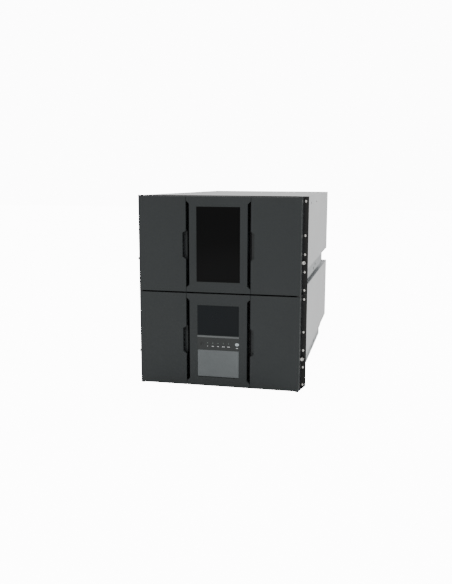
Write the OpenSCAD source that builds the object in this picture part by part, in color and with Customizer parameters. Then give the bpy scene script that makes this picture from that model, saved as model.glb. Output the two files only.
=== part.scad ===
// Rack-mounted data tape library: two six-unit modules stacked as one machine.
// X runs left to right, Y runs from the front to the back and Z runs up.
// Every y value below is measured from the front face of the rack ears.
// stand() moves the whole machine so that the origin is the centre of its base.

/* [Rack] */
// Overall width across the rack ears
rack_w = 482.6; // [478:0.1:495]
// Distance between the left and right rack holes
rack_hole_pitch = 465.1; // [463:0.1:468]
// Height of one module
module_h = 266.7; // [264:0.1:280]
// Height of the thumbscrews above the foot of their module
thumbscrew_z = 88.9; // [80:0.1:100]

/* [Chassis] */
// Width of the body behind the ears
body_w = 443; // [438:1:445]
// Depth from the ears to the back of the rear panel
body_d = 860; // [850:1:950]
// Thickness of the sheet metal
sheet = 2; // [1.6:0.1:2.4]
// Height of the recess along the foot of each side
recess_h = 48; // [44:1:52]
// Depth of the recess
recess_d = 18; // [16:0.5:18]
// Thickness of the rack ears and of the front frame between them
front_t = 2.5; // [2:0.1:3]
// Length of the ears' legs along the sides
ear_leg = 26; // [20:1:40]
// Cut-off at the outer bottom corner of the lowest ears
ear_chamfer = 8; // [4:1:9]
// Length of the slide rails in the recesses
rail_len = 640; // [500:10:760]
// Height of the slide rails
rail_h = 35; // [34:1:38]
// Thickness of the slide rails' steel
rail_t = 1.5; // [1:0.1:2]

/* [Doors] */
// Distance from the ears forward to the door fronts
front_depth = 38.5; // [37:0.5:42]
// Width across both closed doors
door_span = 454.6; // [452:0.1:456]
// Wall thickness of a door
door_wall = 2.5; // [2:0.1:3]
// Depth of a door beside the bezel
door_lip = 18; // [16:0.5:18]
// Gap between a door and what it closes against
door_gap = 1; // [0.9:0.1:1.5]
// Gap above and below a door, where the hinge tabs lie
end_gap = 2; // [1.9:0.1:2.5]
// Distance of the hinge axis from a door's outer edge
hinge_inset = 6; // [5.5:0.1:7]
// Distance of the hinge axis behind a door's front
hinge_back = 4.5; // [4:0.1:5]
// Radius of the hinge pins
hinge_pin_r = 1.5; // [1.2:0.1:1.8]
// Width of the finger scoop in a door's inner edge
scoop_w = 9.5; // [8:0.5:12]
// Foot of the scoop above the foot of its module
scoop_z = 93; // [80:1:100]
// Height of the scoop
scoop_h = 78; // [60:1:90]

/* [Bezels] */
// Width of the centre bezels
bezel_w = 180; // [178:0.5:182]
// Wall thickness of the bezels
bezel_wall = 3; // [2.5:0.1:3.5]
// Depth of the finger slots cut into the bezels' edges
slot_in = 8.5; // [7:0.5:9]
// Distance of the slots from the ends of a module
slot_end = 14; // [12:1:20]
// Width of the window
window_w = 122; // [116:1:126]
// Foot and height of the window above the foot of its module
window_z = 31; // [28:1:34]
window_h = 206; // [200:1:208]
// Width of the display, the indicator strip and the load port
panel_w = 118; // [114:1:120]
// Foot and height of the display
display_z = 148; // [147.8:0.1:152]
display_h = 84.5; // [80:0.5:86]
// Foot and height of the bright trim under the display
trim_z = 142; // [141.8:0.1:142.4]
trim_h = 5; // [4:0.1:5.2]
// Foot and height of the indicator strip
strip_z = 107.5; // [107:0.1:108.5]
strip_h = 34; // [33:0.1:34]
// Foot and height of the load port
port_z = 28; // [27:0.5:30]
port_h = 78; // [76:0.5:78]
// Travel of the power button
button_travel = 1.5; // [1:0.1:1.6]

/* [Magazines] */
// Width of a cell, which holds a cartridge lying flat
cell_w = 107.5; // [107:0.5:109]
// Height from one cell to the next
cell_pitch = 26; // [25:0.1:26]
// Rows of cells in a magazine
cell_rows = 9; // [6:1:9]
// Columns of cells in a magazine
cell_cols = 4; // [3:1:4]
// Wall thickness of a magazine
mag_wall = 3; // [2.5:0.1:3]
// Distance of a magazine's open side from the middle of the machine
aisle_x = 95; // [94.5:0.5:96]

/* [Picker] */
// Radius of the two lift posts
post_r = 5; // [4:0.1:6]
// Inner width of the cradle that takes a cartridge
cradle_w = 112; // [110:1:113]
// Length of the cradle
cradle_l = 112; // [108:1:114]
// Inner height of the cradle
cradle_h = 27; // [25:0.5:28]
// Reach of the gripper
grip_reach = 60; // [50:1:62]
// Module of the lift rack's teeth
tooth_module = 1.5; // [1.4:0.1:1.6]
// Teeth on the lift pinion
pinion_teeth = 16; // [15:1:17]

/* [Rear] */
// Width of the drive bays
bay_w = 158; // [154:1:160]
// Height of the drive bays
bay_h = 80; // [78:0.5:80]
// Distance from one drive bay to the next
bay_pitch = 84; // [83:0.5:84]
// Width and height of a power supply
psu_w = 94; // [90:1:96]
psu_h = 68; // [64:1:70]
// Length of the drives and the power supplies inside the body
sled_l = 254; // [240:1:256]
// Reach of the handles behind the rear panel
handle_reach = 22; // [18:1:30]
// Blades on a fan rotor
fan_blades = 7; // [5:1:9]

/* [Hidden] */
$fn = 48;

BASE = 0;
UPPER = 1;
LEFT = -1;
RIGHT = 1;

// Clearances
slip = 0.3;
run = 0.05;
press = 0.02;
cut = 1;

// Chassis
body_x = body_w / 2;
recess_x = body_x - recess_d;
stack_h = 2 * module_h;
tab_t = 1.5;
ear_inset = 0.2;
ear_in = body_x - sheet - tab_t;
ear_clear = 2;
floor_x = recess_x - sheet;
inner_d = body_d - sheet;
trim_proud = 0.5;
front_y = -(front_depth + trim_proud);
handle_y = body_d + handle_reach;
mid_y = (front_y + handle_y) / 2;

// Doors
door_x = door_span / 2;
bezel_x = bezel_w / 2;
door_in = bezel_x + door_gap;
axis_x = door_x - hinge_inset;
axis_y = hinge_back - front_depth;
knuckle_r = norm([hinge_inset, front_depth - hinge_back - ear_clear]);
boss_r = 4.5;
boss_h = 12;
corner_r = 2;

// Magazines and their bays
mag_z = 6.3;
mag_y = 4;
mag_w = 105;
mag_nose = 24;
mag_l = mag_nose + cell_cols * (cell_w + mag_wall) + mag_wall;
first_row = 21;
mag_h = module_h - mag_z - sheet - 6.4;
bay_z0 = mag_z - slip;
bay_z1 = mag_z + mag_h + slip;
frame_mid_x = 80;
frame_mid_z0 = 20;
frame_mid_z1 = module_h - 17;
runner_w = 8;

// Picker
post_x = -80;
post_y0 = 18;
post_y1 = 556;
top_row = module_h + first_row + (cell_rows - 1) * cell_pitch;
rest_y = 170;
deck_gap_x = aisle_x - 0.8;
deck_gap_y1 = 590;
pitch_r = tooth_module * pinion_teeth / 2;
rack_y = 578;
pinion_y = rack_y - pitch_r;
pinion_drop = 2;
pinion_z = top_row - pinion_drop;

// Rear bays
bay_x = bay_w / 2;
bay_z = 7;
psu_x = 98;
psu_z = 58;
psu_step = 80;
ctrl_h = 170;
sled_y = body_d - sled_l;

function foot(k) = k * module_h;
function bay_foot(k, n) = foot(k) + bay_z + n * bay_pitch;
function psu_foot(k, n) = foot(k) + psu_z + n * psu_step;

// ---------- shared shapes ----------

module stand() {
    translate([0, -mid_y, 0]) children();
}

// The right-hand side as drawn, or its mirror image on the left
module on_side(side) {
    if (side == RIGHT) children();
    else mirror([1, 0, 0]) children();
}

// A box given by its two ends on each axis
module block(x, y, z) {
    translate([x[0], y[0], z[0]]) cube([x[1] - x[0], y[1] - y[0], z[1] - z[0]]);
}

// A box centred on x = 0
module mid_block(half_x, y, z) {
    block([-half_x, half_x], y, z);
}

// Extrudes an outline drawn in X and Z from y[0] back to y[1]
module along_y(y) {
    translate([0, y[1], 0]) rotate([90, 0, 0]) linear_extrude(y[1] - y[0]) children();
}

// Extrudes an outline drawn in X and Y upwards
module along_z(z) {
    translate([0, 0, z[0]]) linear_extrude(z[1] - z[0]) children();
}

// Extrudes an outline drawn in Y and Z along X
module along_x(x) {
    translate([x[0], 0, 0]) rotate([90, 0, 90]) linear_extrude(x[1] - x[0]) children();
}

module rod_y(x, z, y, r) {
    translate([x, y[0], z]) rotate([-90, 0, 0]) cylinder(r = r, h = y[1] - y[0]);
}

module rod_x(x, y, z, r) {
    translate([x[0], y, z]) rotate([0, 90, 0]) cylinder(r = r, h = x[1] - x[0]);
}

module rod_z(x, y, z, r) {
    translate([x, y, z[0]]) cylinder(r = r, h = z[1] - z[0]);
}

// A slot with round ends, length along the outline's first axis
module slot_outline(length, width) {
    for (s = [-1, 1]) translate([s * (length - width) / 2, 0]) circle(d = width);
    square([length - width, width], center = true);
}

// ---------- chassis ----------

vent_y = [250, 415];
vent_drop = 25;

module side_outline() {
    polygon([[recess_x, 0], [recess_x, recess_h], [body_x, recess_h],
        [body_x, module_h - sheet], [body_x - sheet, module_h - sheet],
        [body_x - sheet, recess_h + sheet], [recess_x - sheet, recess_h + sheet],
        [recess_x - sheet, 0]]);
}

module side_panel(k, side) {
    color("gainsboro") stand() on_side(side) difference() {
        translate([0, 0, foot(k)]) along_y([front_t, inner_d]) side_outline();
        if (k == UPPER) for (y = vent_y)
            translate([0, y, stack_h - vent_drop]) along_x([body_x - sheet - cut, body_x + cut])
                slot_outline(22, 4);
    }
}

module runners(z) {
    for (side = [LEFT, RIGHT]) on_side(side)
        for (x = [aisle_x + runner_w, recess_x - 2 * runner_w])
            block([x, x + runner_w], [mag_y, mag_y + mag_l], z);
}

module base_floor() {
    color("silver") stand() {
        mid_block(floor_x, [front_t, inner_d], [0, sheet]);
        runners([sheet, bay_z0]);
    }
}

module middle_deck() {
    color("silver") stand() {
        difference() {
            mid_block(body_x, [front_t, body_d], [module_h - sheet, module_h]);
            mid_block(deck_gap_x, [mag_y, deck_gap_y1], [module_h - sheet - cut, module_h + cut]);
        }
        runners([module_h, module_h + bay_z0]);
    }
}

cover_lip = 14;

module top_cover() {
    lip_x = body_x - sheet;
    color("whitesmoke") stand() {
        mid_block(body_x, [front_t, body_d], [stack_h - sheet, stack_h]);
        for (side = [LEFT, RIGHT]) on_side(side)
            block([lip_x - sheet, lip_x], [mag_y, inner_d - mag_y],
                [stack_h - sheet - cover_lip, stack_h - sheet]);
    }
}

// Folded lip that fills the space behind the doors' shallow side
module frame_lip(side, z) {
    lip_y = front_depth - door_lip - door_gap;
    on_side(side) along_z(z) difference() {
        translate([door_in + door_gap, -lip_y])
            square([axis_x - hinge_inset - door_in - door_gap, lip_y]);
        translate([axis_x, axis_y]) circle(r = knuckle_r + door_gap);
    }
}

module front_frame(k) {
    color("#2b2d30") stand() translate([0, 0, foot(k)]) {
        difference() {
            mid_block(ear_in, [0, front_t], [k == BASE ? 0 : slip, module_h]);
            mid_block(frame_mid_x, [-cut, front_t + cut], [frame_mid_z0, frame_mid_z1]);
            for (side = [LEFT, RIGHT]) on_side(side)
                block([aisle_x - slip, aisle_x + mag_w + slip], [-cut, front_t + cut],
                    [bay_z0, bay_z1]);
        }
        for (side = [LEFT, RIGHT]) {
            frame_lip(side, [end_gap, end_gap + sheet]);
            frame_lip(side, [module_h - end_gap - sheet, module_h - end_gap]);
        }
    }
}

module rear_outline() {
    half = [[recess_x, 0], [recess_x, recess_h], [body_x, recess_h],
        [body_x, module_h - sheet]];
    polygon(concat(half, [for (n = [3:-1:0]) [-half[n][0], half[n][1]]]));
}

module rear_openings() {
    for (n = [0:2])
        translate([-bay_x, bay_z + n * bay_pitch]) square([bay_w, bay_h]);
    for (n = [0, 1])
        translate([psu_x - slip, psu_z + n * psu_step - slip])
            square([psu_w + 2 * slip, psu_h + 2 * slip]);
    translate([-psu_x - psu_w - slip, psu_z - slip])
        square([psu_w + 2 * slip, ctrl_h + 2 * slip]);
}

vent_cols = 9;
vent_rows = 2;

module rear_vents() {
    for (c = [0:vent_cols - 1], r = [0:vent_rows - 1])
        translate([psu_x + 8 + c * (psu_w - 16) / (vent_cols - 1),
            psu_z + 2 * psu_step + 12 + r * 16]) rotate(90) slot_outline(12, 4);
}

module rear_panel(k) {
    color("gainsboro") stand() translate([0, 0, foot(k)]) along_y([inner_d, body_d])
        difference() {
            rear_outline();
            rear_openings();
            rear_vents();
        }
}

// Ear: front flange, leg inside the side panel and two hinge tabs
screw_z = [12, 62, 110, 161.5, 253.5];
screw_r = 2;
thumb_r = 2.5;
shoulder_r = 2.9;
hole_x = rack_hole_pitch / 2;

module tab_outline() {
    difference() {
        union() {
            translate([axis_x, axis_y]) circle(r = boss_r);
            polygon([[axis_x - boss_r, axis_y], [axis_x + boss_r, axis_y],
                [door_x + 5, 0], [body_x, 0]]);
        }
        translate([axis_x, axis_y]) circle(r = hinge_pin_r + press);
    }
}

module ear(k, side) {
    ear_x = rack_w / 2;
    chamfer = k == BASE ? ear_chamfer : 1;
    low = ear_inset;
    high = module_h - ear_inset;
    color("#141516") stand() on_side(side) translate([0, 0, foot(k)]) {
        along_y([0, front_t]) difference() {
            polygon([[ear_in, low], [ear_x - chamfer, low], [ear_x, low + chamfer],
                [ear_x, high], [ear_in, high]]);
            translate([hole_x, thumbscrew_z]) circle(r = shoulder_r + run);
            for (z = screw_z) translate([hole_x, z]) circle(r = screw_r + press);
        }
        block([ear_in, ear_in + tab_t], [front_t, front_t + ear_leg],
            [recess_h + 2 * sheet, module_h - sheet - cover_lip - 1]);
        along_z([low, low + tab_t]) tab_outline();
        along_z([high - tab_t, high]) tab_outline();
    }
}

module hinge_pins() {
    color("silver") stand()
        for (k = [BASE, UPPER], side = [LEFT, RIGHT]) on_side(side)
            translate([0, 0, foot(k)]) {
                rod_z(axis_x, axis_y, [ear_inset, end_gap + boss_h - cut], hinge_pin_r);
                rod_z(axis_x, axis_y,
                    [module_h - end_gap - boss_h + cut, module_h - ear_inset], hinge_pin_r);
            }
}

screw_head_r = 3.6;
screw_head_h = 2;

module ear_screws() {
    color("#b9bcc0") stand()
        for (k = [BASE, UPPER], side = [LEFT, RIGHT], z = screw_z) on_side(side)
            translate([0, 0, foot(k)]) {
                rod_y(hole_x, z, [-screw_head_h, 0], screw_head_r);
                rod_y(hole_x, z, [0, front_t + 2], screw_r);
            }
}

knob_r = hole_x - door_x - slip;
knob_l = 15;
knob_y = -18;
knurl_count = 24;

module knurled_outline() {
    polygon([for (n = [0:2 * knurl_count - 1])
        let (a = 180 / knurl_count * n, r = n % 2 == 0 ? knob_r : knob_r - 0.4)
        [r * cos(a), r * sin(a)]]);
}

module thumbscrew(k, side) {
    shank_end = front_t + 12;
    color("#c8cacc") stand() on_side(side) translate([hole_x, 0, foot(k) + thumbscrew_z]) {
        along_y([knob_y, knob_y + knob_l]) knurled_outline();
        rod_y(0, 0, [knob_y + knob_l, -slip], knob_r - 1.5);
        rod_y(0, 0, [-slip, front_t], shoulder_r);
        rod_y(0, 0, [front_t, shank_end], thumb_r);
    }
}

rail_y = 14;
rail_w = 13.5;
// Two oval holes in the web of each rail: distance from its front, and height
rail_holes = [[393, 21.5], [441, 31]];

module slide_rails() {
    top = recess_h - slip;
    web_x = recess_x + rail_w;
    color("#aeb4b8") stand()
        for (k = [BASE, UPPER], side = [LEFT, RIGHT]) on_side(side)
            translate([0, rail_y, foot(k)]) difference() {
                along_y([0, rail_len]) difference() {
                    translate([recess_x, top - rail_h]) square([web_x - recess_x, rail_h]);
                    translate([recess_x - cut, top - rail_h + rail_t])
                        square([web_x - recess_x - rail_t + cut, rail_h - 2 * rail_t]);
                }
                for (hole = rail_holes)
                    translate([0, hole[0], hole[1]])
                        along_x([recess_x - cut, web_x + cut]) slot_outline(18, 9);
            }
}

// ---------- doors ----------

door_z = [end_gap, module_h - end_gap];

// Shallow beside the bezel, and round about the hinge axis at the outer edge
module door_plan() {
    translate([door_in, -front_depth])
        square([axis_x - door_in, door_lip]);
    intersection() {
        translate([axis_x, axis_y]) circle(r = knuckle_r);
        translate([axis_x - knuckle_r, -front_depth + corner_r])
            square([knuckle_r + hinge_inset, front_depth]);
    }
    translate([axis_x, -front_depth]) square([hinge_inset - corner_r, 2 * corner_r]);
    translate([door_x - corner_r, -front_depth + corner_r]) circle(r = corner_r);
}

// The room inside a door, open to the back
module door_room() {
    translate([door_in + door_wall, -front_depth + door_wall])
        square([door_span / 2 - door_in - 2 * door_wall, front_depth + cut]);
}

// Outline in X and Z of the finger scoop, grown by a wall
module scoop_outline(grow) {
    slant = 6;
    polygon([[door_in - cut, scoop_z - grow - 1], [door_in + scoop_w + grow, scoop_z + slant - grow],
        [door_in + scoop_w + grow, scoop_z + scoop_h - slant + grow],
        [door_in - cut, scoop_z + scoop_h + grow + 1]]);
}

module door(k, side) {
    scoop_y = [-front_depth, -front_depth + door_lip];
    color("#3c4246") stand() on_side(side) translate([0, 0, foot(k)]) difference() {
        union() {
            difference() {
                along_z(door_z) door_plan();
                along_z([door_z[0] + door_wall, door_z[1] - door_wall]) door_room();
            }
            intersection() {
                along_y(scoop_y) scoop_outline(door_wall);
                block([door_in, door_x], scoop_y, door_z);
            }
            for (z = [door_z[0], door_z[1] - boss_h]) {
                rod_z(axis_x, axis_y, [z, z + boss_h], boss_r);
                block([axis_x, door_x - door_wall / 2], [axis_y - boss_r, axis_y + boss_r],
                    [z, z + boss_h]);
            }
            for (n = [1:3])
                block([door_in + door_wall / 2, axis_x], [-front_depth + 1, -front_depth + 7],
                    [scoop_z + scoop_h + 20 * n, scoop_z + scoop_h + 20 * n + 1.5]);
        }
        along_y([scoop_y[0] - cut, scoop_y[1] - door_wall]) scoop_outline(0);
        for (z = [door_z[0] - cut, door_z[1] - boss_h])
            rod_z(axis_x, axis_y, [z, z + boss_h + cut], hinge_pin_r + run);
    }
}

// ---------- centre bezels ----------

function bezel_half(inset) = let (
        flare = slot_in,
        x = bezel_x - inset,
        z0 = end_gap + inset,
        z1 = module_h - end_gap - inset
    ) [[x, z0], [x, slot_end], [x - slot_in, slot_end + flare],
        [x - slot_in, module_h - slot_end - flare], [x, module_h - slot_end], [x, z1]];

module bezel_outline(inset) {
    half = bezel_half(inset);
    polygon(concat(half, [for (n = [5:-1:0]) [-half[n][0], half[n][1]]]));
}

// Hollow from behind, with an open back edge that seats on the front frame
module bezel_shell() {
    difference() {
        along_y([-front_depth, 0]) bezel_outline(0);
        along_y([-front_depth + bezel_wall, cut]) bezel_outline(bezel_wall);
    }
}

// Opening centred on x = 0, from z[0] up to z[1], between y[0] and y[1]
module opening(width, z, y) {
    mid_block(width / 2, y, z);
}

// Frame behind an opening that a pane seats on
ledge_w = 4;
ledge_t = 2.5;

module ledge(width, z) {
    y = -front_depth + bezel_wall;
    difference() {
        mid_block(width / 2 + ledge_w, [y - 0.5, y + ledge_t], [z[0] - ledge_w, z[1] + ledge_w]);
        mid_block(width / 2 - ledge_w, [y - cut, y + ledge_t + cut], [z[0] + ledge_w, z[1] - ledge_w]);
        mid_block(width / 2, [y - cut, y], z);
    }
}

front_cut = [-front_depth - cut, -front_depth + bezel_wall + cut];
window_span = [window_z, window_z + window_h];
display_span = [display_z, display_z + display_h];
strip_span = [strip_z, strip_z + strip_h];
trim_span = [trim_z, trim_z + trim_h];
port_span = [port_z, port_z + port_h];

module upper_bezel() {
    color("#3c4246") stand() translate([0, 0, foot(UPPER)]) {
        difference() {
            bezel_shell();
            opening(window_w, window_span, front_cut);
        }
        ledge(window_w, window_span);
    }
}

module pane(k, width, z) {
    stand() translate([0, 0, foot(k)])
        mid_block(width / 2 - press, [-front_depth + 0.3, -front_depth + bezel_wall],
            [z[0] + press, z[1] - press]);
}

module window_pane() {
    color([0.02, 0.02, 0.03, 0.9]) pane(UPPER, window_w, window_span);
}

module display_glass() {
    color([0.03, 0.05, 0.06, 0.95]) pane(BASE, panel_w, display_span);
}

pocket_t = 1.5;
button_x = 54;
button_z = 125;
lock_x = -48.6;
lock_z = 123.5;
lock_r = 5.5;
lamp_x = [-30, -15, 0, 15, 30];
lamp_z = 126;
lamp_r = 1.2;
carrier_y = -32.5;
carrier_t = 3;
trim_depth = 1;
trim_w = panel_w + 1;
hinge_z = port_z + 3;
port_pin_r = 1.2;
barrel_r = 2.6;
port_axis_y = -front_depth + 0.3 + barrel_r;

module control_holes(grow, y) {
    translate([button_x, 0, button_z]) along_y(y) slot_outline(11 + 2 * grow, 8 + 2 * grow);
    rod_y(lock_x, lock_z, y, lock_r + min(grow, run));
    for (x = lamp_x) rod_y(x, lamp_z, y, lamp_r + press);
}

module base_bezel() {
    boss_y = -front_depth + bezel_wall;
    color("#3c4246") stand() difference() {
        union() {
            difference() {
                bezel_shell();
                opening(panel_w, display_span, front_cut);
                opening(panel_w, strip_span, [-front_depth - cut, -front_depth + pocket_t]);
                opening(trim_w, trim_span, [-front_depth - cut, -front_depth + trim_depth]);
                opening(panel_w + 2 * slip, port_span, front_cut);
            }
            difference() {
                ledge(panel_w, display_span);
                mid_block(bezel_x, [-front_depth, 0], [0, strip_span[1]]);
            }
            for (side = [LEFT, RIGHT]) on_side(side)
                block([panel_w / 2 + slip, panel_w / 2 + 6], [boss_y - 1, port_axis_y + 4],
                    [hinge_z - 4, hinge_z + 4]);
            for (side = [LEFT, RIGHT], z = [strip_z + 4, strip_z + strip_h - 4]) on_side(side)
                rod_y(panel_w / 2 + 2, z, [boss_y - 1, carrier_y], 3);
        }
        control_holes(slip, front_cut);
        rod_x([-panel_w / 2 - 4, panel_w / 2 + 4], port_axis_y, hinge_z, port_pin_r + run);
    }
}

module trim_strip() {
    color("silver") stand()
        mid_block(trim_w / 2 - press, [front_y, -front_depth + trim_depth],
            [trim_span[0] + press, trim_span[1] - press]);
}

module indicator_strip() {
    color("#26292b") stand() difference() {
        mid_block(panel_w / 2 - press, [-front_depth + 0.1, -front_depth + pocket_t],
            [strip_span[0] + press, strip_span[1] - press]);
        control_holes(slip, front_cut);
    }
}

// Board and housing behind the display and the indicator strip
module display_carrier() {
    half = panel_w / 2 + 5;
    color("#1b1d1f") stand() {
        mid_block(half, [carrier_y, carrier_y + carrier_t], [strip_z, display_span[1] + ledge_w]);
        mid_block(half - 6, [carrier_y + carrier_t, carrier_y + carrier_t + 10],
            [display_z, display_span[1]]);
        block([button_x - 4, button_x + 4], [carrier_y + carrier_t, carrier_y + carrier_t + 5],
            [button_z - 4, button_z + 4]);
    }
}

module status_lamps() {
    color("palegreen") stand() for (x = lamp_x)
        rod_y(x, lamp_z, [-front_depth - 0.1, carrier_y], lamp_r);
}

module power_button() {
    flange_y = -front_depth + bezel_wall + slip;
    color("whitesmoke") stand() translate([button_x, 0, button_z]) {
        along_y([front_y, flange_y]) slot_outline(11, 8);
        along_y([flange_y, flange_y + 0.8]) slot_outline(13, 10);
    }
}

module lock_barrel() {
    color("#1f2224") stand() {
        difference() {
            rod_y(lock_x, lock_z, [front_y, -front_depth + bezel_wall + slip], lock_r);
            block([lock_x - 1, lock_x + 1], [front_y - cut, front_y + 2.5], [lock_z - 3.5, lock_z + 3.5]);
        }
        translate([lock_x, 0, lock_z])
            along_y([-front_depth + bezel_wall + slip, -front_depth + bezel_wall + slip + 2]) {
                circle(r = lock_r + 1.5);
                translate([-2, 0]) square([4, 10]);
            }
    }
}

// ---------- load port ----------

module load_port_door() {
    top = port_span[1] - slip;
    front = -front_depth + 0.3;
    half = panel_w / 2 - slip;
    color("#8d9699") stand() {
        difference() {
            mid_block(half, [front, front + 3], [hinge_z, top]);
            mid_block(half - 6, [front + 1.6, front + 3 + cut], [hinge_z + 8, top - 6]);
        }
        rod_x([-half, half], port_axis_y, hinge_z, barrel_r);
        for (side = [LEFT, RIGHT]) on_side(side)
            rod_x([half - 1, panel_w / 2 + 3.5], port_axis_y, hinge_z, port_pin_r);
        for (side = [LEFT, RIGHT]) on_side(side)
            block([30, 36], [front + 3 - 1, front + 6], [top - 12, top - 6]);
    }
}

tray_l = 110;
tray_rows = 3;
tray_half = panel_w / 2 - 2;

module load_port_tray() {
    z0 = port_z + 1.5;
    step = (port_h - 4) / tray_rows;
    color("#33383b") stand() {
        for (side = [LEFT, RIGHT]) on_side(side) {
            block([tray_half - 2, tray_half], [-24, tray_l - 4], [z0, z0 + tray_rows * step]);
            block([tray_half - 1, frame_mid_x + 6], [front_t, front_t + 1.5],
                [z0, z0 + tray_rows * step]);
            for (n = [0:tray_rows - 1])
                block([tray_half - 8, tray_half - 1], [-24, tray_l - 4],
                    [z0 + n * step, z0 + n * step + 2]);
        }
        mid_block(tray_half, [tray_l - 12, tray_l - 4], [z0, z0 + 2]);
        mid_block(tray_half, [-24, -16], [z0, z0 + 2]);
    }
}

// ---------- magazines ----------

module magazine(k, side) {
    x1 = aisle_x + mag_w;
    step = cell_w + mag_wall;
    rail_w = 6;
    color("#2a2c2e") stand() on_side(side) translate([0, mag_y, foot(k) + mag_z]) {
        block([x1 - mag_wall, x1], [0, mag_l], [0, mag_h]);
        for (z = [0, mag_h - mag_wall])
            block([aisle_x, x1 - mag_wall / 2], [0, mag_l], [z, z + mag_wall]);
        block([aisle_x, x1 - mag_wall / 2], [0, mag_wall], [0, mag_h]);
        for (c = [0:cell_cols])
            block([aisle_x, x1 - mag_wall / 2],
                [mag_nose + c * step, mag_nose + c * step + mag_wall], [0, mag_h]);
        for (c = [0:cell_cols - 1], r = [0:cell_rows - 1], e = [0, 1]) {
            y = mag_nose + c * step + mag_wall + e * (cell_w - rail_w);
            z = first_row - mag_z + r * cell_pitch;
            block([aisle_x, x1 - mag_wall / 2], [y - 0.5, y + rail_w + 0.5], [z - 2, z]);
        }
        block([aisle_x + 40, aisle_x + 70], [-16, mag_wall / 2], [mag_h / 2 - 20, mag_h / 2 - 17]);
        block([aisle_x + 40, aisle_x + 70], [-16, -13], [mag_h / 2 - 22, mag_h / 2 - 15]);
    }
}

// ---------- picker ----------

module lift_posts() {
    color("silver") stand() for (y = [post_y0, post_y1])
        rod_z(post_x, y, [sheet, stack_h - sheet], post_r);
}

rack_x = [-68, -60];

// Straight-sided rack teeth that face the front, in step with the pinion at rest
function rack_points() = let (
        p = PI * tooth_module,
        first = ceil((6 - pinion_z) / p),
        last = floor((stack_h - 6 - pinion_z) / p),
        tip = p / 4 - tooth_module * tan(20) - 0.1,
        root = p / 4 + 1.25 * tooth_module * tan(20) - 0.1
    ) [for (n = [first:last], t = [[-root, 1.25], [-tip, -1], [tip, -1], [root, 1.25]])
        [rack_y + t[1] * tooth_module, pinion_z + n * p + t[0]]];

module lift_rack() {
    back = rack_y + 9;
    color("#9ea3a6") stand() along_x(rack_x)
        polygon(concat([[back, sheet], [rack_y + 1.25 * tooth_module, sheet]],
            rack_points(),
            [[rack_y + 1.25 * tooth_module, stack_h - sheet], [back, stack_h - sheet]]));
}

// Involute tooth: half the angle that it fills at radius r
function involute(a) = tan(a) * 180 / PI - a;
function tooth_half(r) = let (
        base = pitch_r * cos(20),
        at = r > base ? acos(base / r) : 0
    ) 90 / pinion_teeth + involute(20) - involute(at) - 0.3;

function pinion_points() = let (
        radii = [pitch_r - 1.25 * tooth_module, pitch_r * cos(20), pitch_r - 0.2,
            pitch_r + 0.5 * tooth_module, pitch_r + 0.95 * tooth_module],
        last = len(radii) - 1
    ) [for (n = [0:pinion_teeth - 1], m = [0:2 * last + 1])
        let (
            i = m <= last ? m : 2 * last + 1 - m,
            a = (n + 0.5) * 360 / pinion_teeth + (m <= last ? -1 : 1) * tooth_half(radii[i])
        ) radii[i] * [cos(a), sin(a)]];

axle_r = 2.5;
block_x = [-93, -71];
gear_x = [-70, -60.5];
front_block_y = [post_y0 - 9, post_y0 + 11];
rear_block_y = [post_y1 - 16, post_y1 + 17];

module lift_pinion() {
    color("goldenrod") stand() translate([0, pinion_y, pinion_z]) {
        along_x(gear_x) polygon(pinion_points());
        rod_x([block_x[0] + 1, gear_x[0] + 1], 0, 0, axle_r);
    }
}

beam_x = [-90, -72];
beam_z = [-16, -8];
carriage_x = [-93, -66];
carriage_z = [-18, -4.5];

module lift_frame() {
    color("#8f9598") stand() translate([0, 0, top_row]) {
        difference() {
            for (y = [front_block_y, rear_block_y])
                block(block_x, y, [-18, 14]);
            for (y = [post_y0, post_y1])
                rod_z(post_x, y, [-18 - cut, 14 + cut], post_r + run);
            rod_x([block_x[0] - cut, block_x[1] + cut], pinion_y, -pinion_drop, axle_r + run);
        }
        block(beam_x, [front_block_y[1], rear_block_y[0]], beam_z);
    }
}

module lift_motor() {
    color("#3a3d40") stand() translate([0, 0, top_row]) {
        rod_x([-91, -69], rear_block_y[0] - 9, 8, 9);
    }
}

turn_y = rest_y;
disc_r = 34;
shaft_r = 10;
arm_t = 6;

module picker_carriage() {
    z0 = carriage_z[0];
    color("#55595c") stand() translate([0, turn_y, top_row]) difference() {
        union() {
            block(carriage_x, [-30, 30], carriage_z);
            block([carriage_x[1] - 1, 0], [-22, 22], [z0, z0 + arm_t]);
            rod_z(0, 0, [z0, z0 + arm_t], 22);
        }
        block([beam_x[0] - slip, beam_x[1] + slip], [-30 - cut, 30 + cut],
            [beam_z[0] - slip, beam_z[1] + slip]);
        rod_z(0, 0, [z0 - cut, z0 + arm_t + cut], shaft_r + run);
    }
}

// Turntable with an open cradle whose mouth faces the front at rest
module picker_cradle() {
    wall = 3;
    half = cradle_w / 2 + wall;
    floor_z = [-3, 0];
    disc_z = carriage_z[0] + arm_t + slip;
    color("#2f3336") stand() translate([0, turn_y, top_row]) {
        rod_z(0, 0, [carriage_z[0], disc_z + 1], shaft_r);
        rod_z(0, 0, [disc_z, floor_z[0] + 1], disc_r);
        difference() {
            mid_block(half, [-cradle_l / 2, cradle_l / 2], [floor_z[0], cradle_h + wall]);
            mid_block(half - wall, [-cradle_l / 2 - cut, cradle_l / 2 - wall], [0, cradle_h]);
            mid_block(half - 14, [-cradle_l / 2 - cut, cradle_l / 2 - 16],
                [cradle_h - cut, cradle_h + wall + cut]);
        }
    }
}

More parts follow.
